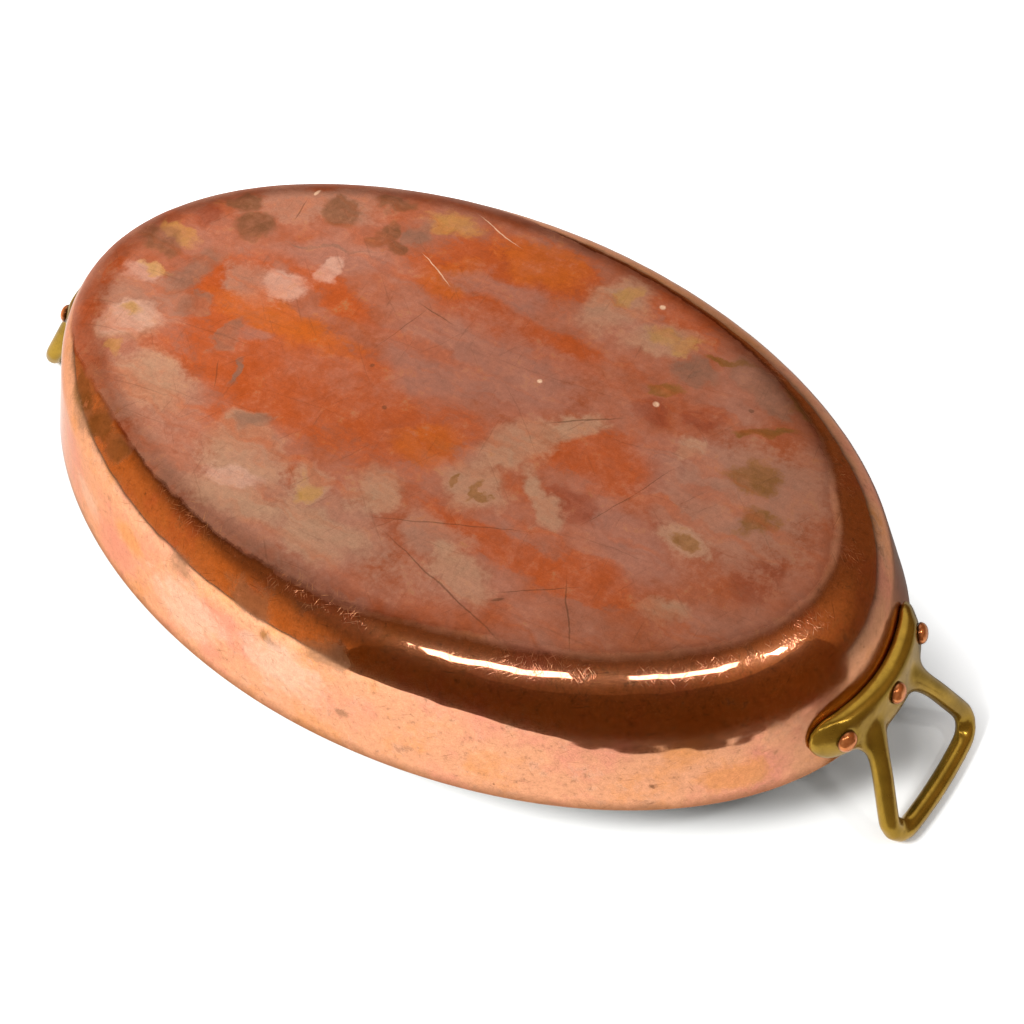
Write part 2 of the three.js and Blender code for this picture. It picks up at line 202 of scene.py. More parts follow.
def makeCopper(look, layers, marks):
    material, tree, output = startMaterial("planished_copper")
    tints = {key: linearColour(value) for key, value in look.items() if isinstance(value, str)}
    where = addNode(tree, "ShaderNodeTexCoord").outputs["Object"]
    climb = addNode(tree, "ShaderNodeAttribute", attribute_name="climb").outputs["Fac"]
    girth = addNode(tree, "ShaderNodeAttribute", attribute_name="girth").outputs["Fac"]

    # Places pushed about by a noise, in mm, so that no stain keeps a clean edge
    pushed = {}
    for reach, size, amount in (("zone", 34, 34), ("spot", 12, 17), ("line", 25, 5)):
        wander = addNode(tree, "ShaderNodeTexNoise", {
            "Vector": where, "Scale": 1 / (size * mm), "Detail": 5.0, "Roughness": 0.52})
        shift = addNode(tree, "ShaderNodeVectorMath", {
            0: wander.outputs["Color"], 1: (0.5, 0.5, 0.5)}, operation="SUBTRACT")
        moved = addNode(tree, "ShaderNodeVectorMath", {
            0: shift, 1: (amount * mm, amount * mm, 0.0), 2: where}, operation="MULTIPLY_ADD")
        pushed[reach] = moved

    # Grain of 0.6 mm, mottling of 2.5 mm, patches of 9 mm, clouds of 28 mm, strokes of a polishing cloth 70 mm long and
    # 7 mm wide, and the finer lines in them, 30 mm by 1.2 mm
    grain = addNode(tree, "ShaderNodeTexNoise", {
        "Vector": where, "Scale": 1 / (0.6 * mm), "Detail": 3.0, "Roughness": 0.6})
    mottle = addNode(tree, "ShaderNodeTexNoise", {
        "Vector": where, "Scale": 1 / (2.5 * mm), "Detail": 5.0, "Roughness": 0.65})
    patch = addNode(tree, "ShaderNodeTexNoise", {
        "Vector": pushed["spot"], "Scale": 1 / (9 * mm), "Detail": 6.0, "Roughness": 0.68})
    cloud = addNode(tree, "ShaderNodeTexNoise", {
        "Vector": where, "Scale": 1 / (28 * mm), "Detail": 6.0, "Roughness": 0.62})
    along = addNode(tree, "ShaderNodeMapping", {
        "Vector": pushed["spot"], "Rotation": (0, 0, math.radians(-4)), "Scale": (0.1, 1, 1)})
    stroke = addNode(tree, "ShaderNodeTexNoise", {"Vector": along, "Scale": 1 / (7 * mm), "Detail": 5.0})
    drawn = addNode(tree, "ShaderNodeMapping", {
        "Vector": pushed["line"], "Rotation": (0, 0, math.radians(-3)), "Scale": (0.04, 1, 1)})
    wipe = addNode(tree, "ShaderNodeTexNoise", {"Vector": drawn, "Scale": 1 / (1.2 * mm), "Detail": 4.0})

    # Hairlines: thin ridges of a stretched noise, 20 to 60 mm long, in four directions
    hairs = 0.0
    for turn, length in ((9, 60), (64, 25), (-38, 35), (-80, 20)):
        stretched = addNode(tree, "ShaderNodeMapping", {
            "Vector": pushed["line"], "Rotation": (0, 0, math.radians(turn)),
            "Scale": (length * mm, 0.9 * mm, 70 * mm)}, vector_type="TEXTURE")
        ridge = addNode(tree, "ShaderNodeTexNoise", {"Vector": stretched, "Scale": 1.0, "Detail": 1.0})
        hair = addNode(tree, "ShaderNodeMapRange", {"Value": ridge, "From Min": 0.69, "From Max": 0.8})
        hairs = addNode(tree, "ShaderNodeMath", {0: hairs, 1: hair}, operation="MAXIMUM")

    ground = addNode(tree, "ShaderNodeMapRange", {"Value": cloud, "From Min": 0.36, "From Max": 0.66})
    colour = addNode(tree, "ShaderNodeMix", {
        "Factor": ground, "A": tints["ground"], "B": tints["rose"]}, data_type="RGBA")
    # A stain is thinner in places, and the copper shows through
    uneven = addNode(tree, "ShaderNodeMath", {0: patch, 1: cloud}, operation="ADD")
    thin = addNode(tree, "ShaderNodeMapRange", {
        "Value": uneven, "From Min": 0.75, "From Max": 1.3, "To Min": 1.15, "To Max": 0.4})
    # A spherical gradient falls from 1 to 0, and a stain ends where it has fallen to stainEdge
    inside = 1 - look["stainEdge"]
    matt = 0.0
    for layer in layers:
        total = 0.0
        for x, y, length, width, turn in layer["stains"]:
            spot = addNode(tree, "ShaderNodeMapping", {
                "Vector": pushed[layer["reach"]], "Location": (x * mm, y * mm, baseZ),
                "Rotation": (0, 0, math.radians(turn)), "Scale": (length * mm / inside, width * mm / inside, 0.2)
            }, vector_type="TEXTURE")
            fall = addNode(tree, "ShaderNodeTexGradient", {"Vector": spot}, gradient_type="SPHERICAL")
            total = addNode(tree, "ShaderNodeMath", {0: total, 1: fall.outputs["Fac"]}, operation="MAXIMUM")
        ragged, streaked = layer["ragged"], layer["streaked"]
        wide = ragged * (layer["reach"] == "zone")  # clouds move wide stains only
        for field, amount in ((mottle, ragged * 0.9), (patch, ragged * 1.3), (cloud, wide), (stroke, streaked)):
            if amount:
                away = addNode(tree, "ShaderNodeMath", {0: field, 1: 0.5}, operation="SUBTRACT")
                total = addNode(tree, "ShaderNodeMath", {0: away, 1: amount, 2: total}, operation="MULTIPLY_ADD")
        share = addNode(tree, "ShaderNodeMapRange", {
            "Value": total, "From Min": look["stainEdge"] - layer["soft"] / 2,
            "From Max": look["stainEdge"] + layer["soft"] / 2, "To Max": layer["strength"]
        }, interpolation_type="SMOOTHSTEP")
        if layer["reach"] != "line":
            share = addNode(tree, "ShaderNodeMath", {0: share, 1: thin}, operation="MULTIPLY", use_clamp=True)
        colour = addNode(tree, "ShaderNodeMix", {
            "Factor": share, "A": colour, "B": tints[layer["colour"]]}, data_type="RGBA")
        if layer["colour"] in ("pale", "brown", "olive"):
            matt = addNode(tree, "ShaderNodeMath", {0: matt, 1: share}, operation="MAXIMUM")
    worn = addNode(tree, "ShaderNodeMapRange", {"Value": stroke, "From Min": 0.5, "From Max": 0.7, "To Max": 0.4})
    colour = addNode(tree, "ShaderNodeMix", {"Factor": worn, "A": colour, "B": tints["orange"]}, data_type="RGBA")
    for field, amount in ((grain, 0.12), (mottle, 0.12), (wipe, 0.05), (patch, 0.16)):
        shade = addNode(tree, "ShaderNodeMapRange", {
            "Value": field, "From Min": 0.25, "From Max": 0.75, "To Min": 1 - amount, "To Max": 1 + amount})
        colour = addNode(tree, "ShaderNodeMix", {
            "Factor": 1.0, "A": colour, "B": shade}, data_type="RGBA", blend_type="MULTIPLY")
    # Painted shade: the base is lighter on the left and darker towards the right, as the light falls
    across = addNode(tree, "ShaderNodeSeparateXYZ", {"Vector": where}).outputs["X"]
    depth = addNode(tree, "ShaderNodeMapRange", {
        "Value": across, "From Min": -130 * mm, "From Max": 30 * mm, "To Min": 1.1, "To Max": 0.79
    }, interpolation_type="SMOOTHSTEP")
    colour = addNode(tree, "ShaderNodeMix", {
        "Factor": 1.0, "A": colour, "B": depth}, data_type="RGBA", blend_type="MULTIPLY")
    # and painted shade again, darkest along the right-hand edge near the rim
    atRight = addNode(tree, "ShaderNodeMapRange", {
        "Value": across, "From Min": 60 * mm, "From Max": 120 * mm, "To Max": look["edgeDarkness"]})
    nearRim = addNode(tree, "ShaderNodeMapRange", {"Value": climb, "From Min": 98 * mm, "From Max": 70 * mm})
    edgeShade = addNode(tree, "ShaderNodeMath", {0: atRight, 1: nearRim}, operation="MULTIPLY")
    colour = addNode(tree, "ShaderNodeMix", {"Factor": edgeShade, "A": colour, "B": tints["soot"]}, data_type="RGBA")
    dark = addNode(tree, "ShaderNodeMath", {0: hairs, 1: look["hairDarkness"]}, operation="MULTIPLY")
    patina = addNode(tree, "ShaderNodeMix", {"Factor": dark, "A": colour, "B": tints["soot"]}, data_type="RGBA")

    # Wall: bright metal with pink, honey and straw bloom, and brown tarnish where it was marked
    wall = tints["bright"]
    blooms = [(cloud, 0.5, 0.66, 0.85, "blush"), (cloud, 0.46, 0.32, 0.8, "honey"), (patch, 0.55, 0.72, 0.5, "straw"),
              (patch, 0.38, 0.25, 0.35, "tarnish"), (mottle, 0.4, 0.24, 0.7, "tarnish")]
    for field, start, stop, amount, bloom in blooms:
        share = addNode(tree, "ShaderNodeMapRange", {
            "Value": field, "From Min": start, "From Max": stop, "To Max": amount})
        wall = addNode(tree, "ShaderNodeMix", {"Factor": share, "A": wall, "B": tints[bloom]}, data_type="RGBA")
    stained = 0.0
    for x, y, z, radius, tint in marks:
        reach = radius * mm
        spot = addNode(tree, "ShaderNodeMapping", {
            "Vector": pushed["spot"], "Location": (x * mm, y * mm, z * mm), "Scale": (reach * 1.8, reach * 1.8, reach)
        }, vector_type="TEXTURE")
        fall = addNode(tree, "ShaderNodeTexGradient", {"Vector": spot}, gradient_type="SPHERICAL")
        away = addNode(tree, "ShaderNodeMath", {0: patch, 1: 0.5}, operation="SUBTRACT")
        total = addNode(tree, "ShaderNodeMath", {0: away, 1: 1.5, 2: fall.outputs["Fac"]}, operation="MULTIPLY_ADD")
        share = addNode(tree, "ShaderNodeMapRange", {
            "Value": total, "From Min": 0.2, "From Max": 0.6, "To Max": 0.75})
        wall = addNode(tree, "ShaderNodeMix", {"Factor": share, "A": wall, "B": tints[tint]}, data_type="RGBA")
        if tint in ("olive", "brown", "tarnish"):
            stained = addNode(tree, "ShaderNodeMath", {0: stained, 1: share}, operation="MAXIMUM")
    for field, low, high in ((mottle, 0.82, 1.06), (grain, 0.84, 1.08)):
        speck = addNode(tree, "ShaderNodeMapRange", {
            "Value": field, "From Min": 0.3, "From Max": 0.7, "To Min": low, "To Max": high})
        wall = addNode(tree, "ShaderNodeMix", {
            "Factor": 1.0, "A": wall, "B": speck}, data_type="RGBA", blend_type="MULTIPLY")
    # Pits of about half a millimetre, a few to the square centimetre
    pit = addNode(tree, "ShaderNodeTexVoronoi", {"Vector": where, "Scale": 1 / (6 * mm), "Randomness": 1.0})
    pitted = addNode(tree, "ShaderNodeMapRange", {
        "Value": pit.outputs["Distance"], "From Min": 0.1, "From Max": 0.05, "To Max": 0.7})
    some = addNode(tree, "ShaderNodeMapRange", {"Value": patch, "From Min": 0.45, "From Max": 0.4})
    pits = addNode(tree, "ShaderNodeMath", {0: pitted, 1: some}, operation="MULTIPLY")
    wall = addNode(tree, "ShaderNodeMix", {"Factor": pits, "A": wall, "B": tints["brown"]}, data_type="RGBA")

    # Fine dark scratches, 8 to 18 mm long
    around = addNode(tree, "ShaderNodeCombineXYZ", {"X": girth, "Y": climb, "Z": 0.0})
    for turn, length in ((28, 18), (-58, 8), (4, 14)):
        slanted = addNode(tree, "ShaderNodeMapping", {
            "Vector": around, "Rotation": (0, 0, math.radians(turn)), "Scale": (length * mm, 0.7 * mm, 1)
        }, vector_type="TEXTURE")
        ridge = addNode(tree, "ShaderNodeTexNoise", {"Vector": slanted, "Scale": 1.0, "Detail": 1.0})
        scratch = addNode(tree, "ShaderNodeMapRange", {
            "Value": ridge, "From Min": 0.7, "From Max": 0.8, "To Max": 0.6})
        wall = addNode(tree, "ShaderNodeMix", {"Factor": scratch, "A": wall, "B": tints["brown"]}, data_type="RGBA")

    # A brown line of old polish along the rim, 2 to 5 mm high
    lowDrift = addNode(tree, "ShaderNodeMath", {0: patch, 1: -6 * mm, 2: climb}, operation="MULTIPLY_ADD")
    low = addNode(tree, "ShaderNodeMapRange", {
        "Value": lowDrift, "From Min": 2.6 * mm, "From Max": -1.8 * mm, "To Max": 0.7})
    wall = addNode(tree, "ShaderNodeMix", {"Factor": low, "A": wall, "B": tints["brown"]}, data_type="RGBA")
    # Round the handles no cloth reaches, and the copper is dull there
    dull = 0.0
    for side in (-1, 1):
        spot = addNode(tree, "ShaderNodeMapping", {
            "Vector": where, "Location": (side * 198 * mm, 0.0, rimZ + 12 * mm), "Scale": (70 * mm, 66 * mm, 46 * mm)
        }, vector_type="TEXTURE")
        fall = addNode(tree, "ShaderNodeTexGradient", {"Vector": spot}, gradient_type="SPHERICAL")
        dull = addNode(tree, "ShaderNodeMath", {0: dull, 1: fall.outputs["Fac"]}, operation="MAXIMUM")
    uneven = addNode(tree, "ShaderNodeMath", {0: patch, 1: 0.6, 2: dull}, operation="MULTIPLY_ADD")
    dull = addNode(tree, "ShaderNodeMapRange", {"Value": uneven, "From Min": 0.4, "From Max": 0.7})
    faded = addNode(tree, "ShaderNodeMath", {0: dull, 1: 0.35}, operation="MULTIPLY")
    wall = addNode(tree, "ShaderNodeMix", {"Factor": faded, "A": wall, "B": tints["tarnish"]}, data_type="RGBA")

    # The patina ends, unevenly, where the base turns down: lower at the left of the front, lowest at the left end
    away = addNode(tree, "ShaderNodeVectorMath", {0: where, 1: (-0.85, 0.53, 0.0)}, operation="DOT_PRODUCT")
    lifted = climb
    for start, stop, drop in ((-112, -72, 4.2), (50, 130, 12)):
        creep = addNode(tree, "ShaderNodeMapRange", {
            "Value": away, "From Min": start * mm, "From Max": stop * mm, "To Max": drop * mm
        }, interpolation_type="SMOOTHSTEP")
        lifted = addNode(tree, "ShaderNodeMath", {0: lifted, 1: creep}, operation="ADD")
    drift = addNode(tree, "ShaderNodeMath", {0: patch, 1: 5 * mm, 2: lifted}, operation="MULTIPLY_ADD")
    # It starts more sharply there than at the front
    spread = addNode(tree, "ShaderNodeMapRange", {
        "Value": away, "From Min": -112 * mm, "From Max": -30 * mm, "To Min": 6 * mm, "To Max": 1.6 * mm})
    # Its colour comes a little before its matt film
    start = addNode(tree, "ShaderNodeMath", {0: drift, 1: look["crease"] - 0.6 * mm}, operation="SUBTRACT")
    onBase = addNode(tree, "ShaderNodeMath", {0: start, 1: spread}, operation="DIVIDE", use_clamp=True)
    late = addNode(tree, "ShaderNodeMath", {0: start, 1: 1.4 * mm}, operation="SUBTRACT")
    filmed = addNode(tree, "ShaderNodeMath", {0: late, 1: spread}, operation="DIVIDE", use_clamp=True)
    skin = addNode(tree, "ShaderNodeMix", {"Factor": onBase, "A": wall, "B": patina}, data_type="RGBA")

    # Scuffs from being set down: bright scores, 5 to 11 mm long, that cross the edge of the base
    scuffs = 0.0
    for turn, length in ((24, 11), (-52, 7), (68, 5)):
        slanted = addNode(tree, "ShaderNodeMapping", {
            "Vector": around, "Rotation": (0, 0, math.radians(turn)), "Scale": (length * mm, 0.4 * mm, 1)
        }, vector_type="TEXTURE")
        score = addNode(tree, "ShaderNodeTexNoise", {"Vector": slanted, "Scale": 1.0, "Detail": 1.5})
        sharp = addNode(tree, "ShaderNodeMapRange", {
            "Value": score, "From Min": 0.64, "From Max": 0.74, "To Max": 0.8})
        scuffs = addNode(tree, "ShaderNodeMath", {0: scuffs, 1: sharp}, operation="MAXIMUM")
    nearEdge = addNode(tree, "ShaderNodeMath", {0: climb, 1: 60 * mm}, operation="SUBTRACT")
    offEdge = addNode(tree, "ShaderNodeMath", {0: nearEdge}, operation="ABSOLUTE")
    edge = addNode(tree, "ShaderNodeMapRange", {"Value": offEdge, "From Min": 7 * mm, "From Max": 1 * mm})
    some = addNode(tree, "ShaderNodeMapRange", {"Value": cloud, "From Min": 0.48, "From Max": 0.6})
    edge = addNode(tree, "ShaderNodeMath", {0: edge, 1: some}, operation="MULTIPLY")
    scuffs = addNode(tree, "ShaderNodeMath", {0: scuffs, 1: edge}, operation="MULTIPLY")
    skin = addNode(tree, "ShaderNodeMix", {"Factor": scuffs, "A": skin, "B": tints["scuff"]}, data_type="RGBA")

    baseRough = addNode(tree, "ShaderNodeMapRange", {
        "Value": matt, "To Min": look["baseRoughness"], "To Max": look["baseRoughness"] + look["mattSpread"]})
    # Wear makes the polish uneven from place to place
    polish = addNode(tree, "ShaderNodeMapRange", {
        "Value": patch, "From Min": 0.4, "From Max": 0.7, "To Min": look["wallRoughness"],
        "To Max": look["wallRoughness"] + look["polishSpread"]})
    wallRough = addNode(tree, "ShaderNodeMix", {"Factor": dull, "A": polish, "B": look["dullRoughness"]})
    rough = addNode(tree, "ShaderNodeMix", {"Factor": filmed, "A": wallRough, "B": baseRough})
    rough = addNode(tree, "ShaderNodeMix", {"Factor": stained, "A": rough, "B": look["stainRoughness"]})
    rough = addNode(tree, "ShaderNodeMix", {"Factor": scuffs, "A": rough, "B": look["scuffRoughness"]})
    film = addNode(tree, "ShaderNodeMapRange", {"Value": filmed, "To Min": 1.0, "To Max": look["baseFilm"]})
    film = addNode(tree, "ShaderNodeMix", {"Factor": stained, "A": film, "B": look["stainFilm"]})
    film = addNode(tree, "ShaderNodeMix", {"Factor": scuffs, "A": film, "B": look["scuffFilm"]})
    hairCuts = addNode(tree, "ShaderNodeMath", {0: hairs, 1: filmed}, operation="MULTIPLY")
    cuts = addNode(tree, "ShaderNodeMath", {0: hairCuts, 1: scuffs}, operation="MAXIMUM")
    bump = addNode(tree, "ShaderNodeBump", {"Height": cuts, "Strength": 0.5, "Distance": 0.05 * mm}, invert=True)
    polished = addNode(tree, "ShaderNodeBsdfPrincipled", {
        "Base Color": skin, "Roughness": rough, "Metallic": film, "Specular Tint": tints["edgeTint"], "Normal": bump})
    # Years of fine rubbing lay a faint haze over the mirror
    haze = addNode(tree, "ShaderNodeBsdfAnisotropic", {
        "Color": skin, "Roughness": look["hazeRoughness"], "Normal": bump})
    hazy = addNode(tree, "ShaderNodeMixShader", {0: look["hazeShare"], 1: polished, 2: haze})
    tree.links.new(hazy.outputs["Shader"], output.inputs["Surface"])
    return material


copper = makeCopper(copperLook, patinaLayers, wallMarks)


# Pan body: half section turned full circle, then drawn out along X to the oval
pan = dict(
    halfLength=200 * mm, halfWidth=127.75 * mm, ovalPower=1.954, depth=54 * mm, lean=math.radians(16.8),
    corner=30 * mm, copper=2 * mm, tin=0.5 * mm, seat=0.3 * mm, rimRound=0.6 * mm,
    girthSteps=600, rowStep=1.4 * mm, flatStep=3 * mm, innerStep=6 * mm, innerFlatStep=16 * mm,
    markSize=9 * mm, markDepth=0.045 * mm, wallShare=0.36, cornerShare=0.34, flatLoss=0.8,
    rimFade=6 * mm, flatFade=10 * mm, sway=0.035 * mm, swaySize=45 * mm,
    liningSteps=320, liningStep=3 * mm, liningFlatStep=6 * mm,
)
cornerInset = (pan["depth"] - pan["corner"]) * math.tan(pan["lean"]) + pan["corner"] / math.cos(pan["lean"])
cornerLevel = pan["depth"] - pan["corner"]
flatHalfWidth = pan["halfWidth"] - cornerInset
cornerFoot = cornerLevel + pan["corner"] * math.sin(pan["lean"])
wallLength = cornerFoot / math.cos(pan["lean"])
cornerLength = pan["corner"] * (math.pi / 2 - pan["lean"])


# A point of the half section: distance along the face from the rim, and how far outside the face it lies
def sectionPoint(climb, offset):
    if climb < wallLength:
        height = climb * math.cos(pan["lean"])
        inset = climb * math.sin(pan["lean"])
        angle = pan["lean"]
        return (pan["halfWidth"] - inset + offset * math.cos(angle), height + offset * math.sin(angle))
    if climb < wallLength + cornerLength:
        angle = pan["lean"] + (climb - wallLength) / pan["corner"]
        radius = pan["corner"] + offset
        return (pan["halfWidth"] - cornerInset + radius * math.cos(angle), cornerLevel + radius * math.sin(angle))
    return (max(0.0, flatHalfWidth - (climb - wallLength - cornerLength)), pan["depth"] + offset)


def sectionRows(step, flatStep):
    edge = wallLength + cornerLength
    rows, flatRows = round(edge / step), round(flatHalfWidth / flatStep)
    return [edge * i / rows for i in range(rows)] + [edge + flatHalfWidth * i / flatRows for i in range(flatRows + 1)]


def drawOval(co):
    radius = math.hypot(co.x, co.y)
    if radius < 1e-7:
        return
    stretch = (pan["halfLength"] - pan["halfWidth"]) * min(1, radius / flatHalfWidth)
    c, s = co.x / radius, co.y / radius
    co.x = (radius + stretch) * math.copysign(abs(c) ** (2 / pan["ovalPower"]), c)
    co.y = radius * math.copysign(abs(s) ** (2 / pan["ovalPower"]), s)


# Points of a half section (radius, height, distance along the face) turned full circle about Z
def spinSection(points, lift, steps):
    bm = bmesh.new()
    climbLayer = bm.verts.layers.float.new("climb")
    chain = []
    for radius, height, climb in points:
        vert = bm.verts.new((radius, 0, height + lift))
        vert[climbLayer] = climb
        chain.append(vert)
    edges = [bm.edges.new(pair) for pair in zip(chain, chain[1:])]
    bmesh.ops.spin(bm, geom=chain + edges, cent=(0, 0, 0), axis=(0, 0, 1), angle=2 * math.pi,
                   steps=steps, use_merge=True)
    bmesh.ops.remove_doubles(bm, verts=bm.verts, dist=mergeReach)
    bmesh.ops.recalc_face_normals(bm, faces=bm.faces)
    return bm, climbLayer


def turnSection(points, steps):
    bm, climbLayer = spinSection(points, rimZ, steps)
    girthLayer = bm.verts.layers.float.new("girth")
    for vert in bm.verts:
        vert[girthLayer] = math.atan2(vert.co.x, -vert.co.y) * pan["halfLength"]
        drawOval(vert.co)
    bm.normal_update()
    return bm, climbLayer


def makePan():
    outer = [(*sectionPoint(c, 0), c) for c in sectionRows(pan["rowStep"], pan["flatStep"])]
    inner = [(*sectionPoint(c, -pan["copper"]), -1.0) for c in sectionRows(pan["innerStep"], pan["innerFlatStep"])]
    # The rim's two edges are filed round
    inner[0] = (inner[0][0], pan["rimRound"], -1.0)
    outer[0] = (*sectionPoint(pan["rimRound"], 0), pan["rimRound"])
    rim = [(inner[0][0] + pan["rimRound"], 0.0, 0.0), (outer[0][0] - 0.4 * pan["rimRound"], 0.0, 0.0)]
    bm, climbLayer = turnSection(inner[::-1] + rim + outer, pan["girthSteps"])
    # Planishing: shallow hammer marks beside each other, and a slow sway over the whole sheet
    for vert in bm.verts:
        climb = vert[climbLayer]
        if climb <= 0:
            continue
        fade = min(1, climb / pan["rimFade"])
        onFlat = min(1, max(0, (climb - wallLength - cornerLength) / pan["flatFade"]))
        near = noise.voronoi(vert.co / pan["markSize"], distance_metric="DISTANCE_SQUARED")[0][0]
        # The long wall was smoothed flat again, the rounded edge less
        onCorner = min(1, max(0, (climb - 0.8 * wallLength) / (0.5 * wallLength)))
        share = (pan["wallShare"] + pan["cornerShare"] * onCorner) * (1 - pan["flatLoss"] * onFlat)
        marks = (1 - 4 * near) * pan["markDepth"] * share
        sway = noise.noise(vert.co / pan["swaySize"]) * pan["sway"]
        vert.co += vert.normal * (marks + sway) * fade
    return finishPiece("pan_copper", bm, copper, "pan_body")


panPiece = makePan()
print("pan body made,", len(panPiece.data.polygons), "faces")


# Tin: wiped on hot, so it is a soft grey with long wipe marks
tinLook = dict(colour="#B9B6AE", stained="#9C9286", roughness=0.36, wipe=4 * mm)


def makeTin(look):
    material, tree, output = startMaterial("wiped_tin")
    where = addNode(tree, "ShaderNodeTexCoord").outputs["Object"]
    blot = addNode(tree, "ShaderNodeTexNoise", {"Vector": where, "Scale": 1 / (50 * mm), "Detail": 5.0, "Roughness": 0.6})
    share = addNode(tree, "ShaderNodeMapRange", {"Value": blot, "From Min": 0.45, "From Max": 0.7})
    colour = addNode(tree, "ShaderNodeMix", {
        "Factor": share, "A": linearColour(look["colour"]), "B": linearColour(look["stained"])}, data_type="RGBA")
    stretched = addNode(tree, "ShaderNodeMapping", {"Vector": where, "Scale": (0.12, 1.0, 1.0)})
    wipe = addNode(tree, "ShaderNodeTexNoise", {"Vector": stretched, "Scale": 1 / look["wipe"], "Detail": 4.0})
    rough = addNode(tree, "ShaderNodeMapRange", {
        "Value": wipe, "To Min": look["roughness"] - 0.1, "To Max": look["roughness"] + 0.14})
    bump = addNode(tree, "ShaderNodeBump", {"Height": wipe, "Strength": 0.25, "Distance": 0.2 * mm})
    shader = addNode(tree, "ShaderNodeBsdfPrincipled", {
        "Base Color": colour, "Metallic": 1.0, "Roughness": rough, "Normal": bump})
    tree.links.new(shader.outputs["BSDF"], output.inputs["Surface"])
    return material


def makeLining():
    backFace = -(pan["copper"] + pan["seat"])
    rows = sectionRows(pan["liningStep"], pan["liningFlatStep"])
    back = [(*sectionPoint(c, backFace), -1.0) for c in rows]
    front = [(*sectionPoint(c, backFace - pan["tin"]), c) for c in rows]
    back[0] = (back[0][0], 0.0, -1.0)
    front[0] = (front[0][0], 0.0, 0.0)
    bm = turnSection(front[::-1] + back, pan["liningSteps"])[0]
    return finishPiece("pan_lining", bm, makeTin(tinLook), "tin_lining")


makeLining()
print("lining made")


# Cast brass, filed and aged: yellow where hands rub it, brown in the hollows
brassLook = dict(bright="#B48E30", body="#8E6E20", dark="#40300E", roughness=0.21, film=0.74, grain=1.5 * mm)


def makeBrass(look):
    material, tree, output = startMaterial("cast_brass")
    where = addNode(tree, "ShaderNodeTexCoord").outputs["Object"]
    hollow = addNode(tree, "ShaderNodeAttribute", attribute_name="hollow").outputs["Fac"]
    cloud = addNode(tree, "ShaderNodeTexNoise", {
        "Vector": where, "Scale": 1 / (12 * mm), "Detail": 5.0, "Roughness": 0.6})
    share = addNode(tree, "ShaderNodeMapRange", {"Value": cloud, "From Min": 0.35, "From Max": 0.7})
    worn = addNode(tree, "ShaderNodeMix", {
        "Factor": share, "A": linearColour(look["bright"]), "B": linearColour(look["body"])}, data_type="RGBA")
    deep = addNode(tree, "ShaderNodeMapRange", {"Value": hollow, "From Min": 0.15, "From Max": 0.8, "To Max": 0.9})
    colour = addNode(tree, "ShaderNodeMix", {
        "Factor": deep, "A": worn, "B": linearColour(look["dark"])}, data_type="RGBA")
    grain = addNode(tree, "ShaderNodeTexNoise", {
        "Vector": where, "Scale": 1 / look["grain"], "Detail": 4.0, "Roughness": 0.6})
    rough = addNode(tree, "ShaderNodeMapRange", {
        "Value": grain, "To Min": look["roughness"] - 0.06, "To Max": look["roughness"] + 0.12})
    bump = addNode(tree, "ShaderNodeBump", {"Height": grain, "Strength": 0.12, "Distance": 0.15 * mm})
    shader = addNode(tree, "ShaderNodeBsdfPrincipled", {
        "Base Color": colour, "Metallic": look["film"], "Roughness": rough, "Normal": bump})
    tree.links.new(shader.outputs["BSDF"], output.inputs["Surface"])
    return material


brass = makeBrass(brassLook)
casting = dict(voxel=0.45 * mm, fillet=5 * mm, smoothing=32, filletSmoothing=14, swell=0.12 * mm, merge=0.002 * mm,
               hollowSpread=6, hollowGain=16)


# A handle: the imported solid's own shape, its edges and corners rounded as a sand casting's are
def makeHandle(name, node):
    bm = bmesh.new()
    bm.from_mesh(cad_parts[node].data)
    bmesh.ops.remove_doubles(bm, verts=bm.verts, dist=casting["merge"])
    rough = bpy.data.meshes.new(name + "_rough")
    bm.to_mesh(rough)
    bm.free()
    blank = bpy.data.objects.new(name + "_rough", rough)
    scene.collection.objects.link(blank)
    # Swollen by the fillet's radius and shrunk again, so that hollow corners stay filled
    for step, swell in enumerate((casting["fillet"], -casting["fillet"], 0.0)):
        remesh = blank.modifiers.new(f"remesh_{step}", "REMESH")
        remesh.mode = "VOXEL"
        remesh.voxel_size = casting["voxel"]
        smooth = blank.modifiers.new(f"smooth_{step}", "SMOOTH")
        smooth.iterations = casting["filletSmoothing"] if swell else casting["smoothing"]
        smooth.factor = 0.5
        if swell:
            offset = blank.modifiers.new(f"offset_{step}", "DISPLACE")
            offset.mid_level = 0.0
            offset.strength = swell
    shaped = bpy.data.meshes.new_from_object(blank.evaluated_get(bpy.context.evaluated_depsgraph_get()))
    bpy.data.objects.remove(blank)
    bm = bmesh.new()
    bm.from_mesh(shaped)
    bm.normal_update()
    hollowLayer = bm.verts.layers.float.new("hollow")
    bend = {}
    for vert in bm.verts:
        vert.co += vert.normal * casting["swell"]
    for vert in bm.verts:
        ring = [edge.other_vert(vert).co for edge in vert.link_edges]
        middle = sum(ring, Vector()) / len(ring)
        bend[vert] = (middle - vert.co).dot(vert.normal) / casting["voxel"]
    for turn in range(casting["hollowSpread"]):
        bend = {vert: (bend[vert] + sum(bend[e.other_vert(vert)] for e in vert.link_edges)) / (1 + len(vert.link_edges))
                for vert in bm.verts}
    for vert in bm.verts:
        vert[hollowLayer] = max(0, bend[vert]) * casting["hollowGain"]
    return finishPiece(name, bm, brass, node)


for end in ("right", "left"):
    handlePiece = makeHandle(f"brass_handle_{end}", f"handle_{end}")
print("handles made,", len(handlePiece.data.polygons), "faces each")


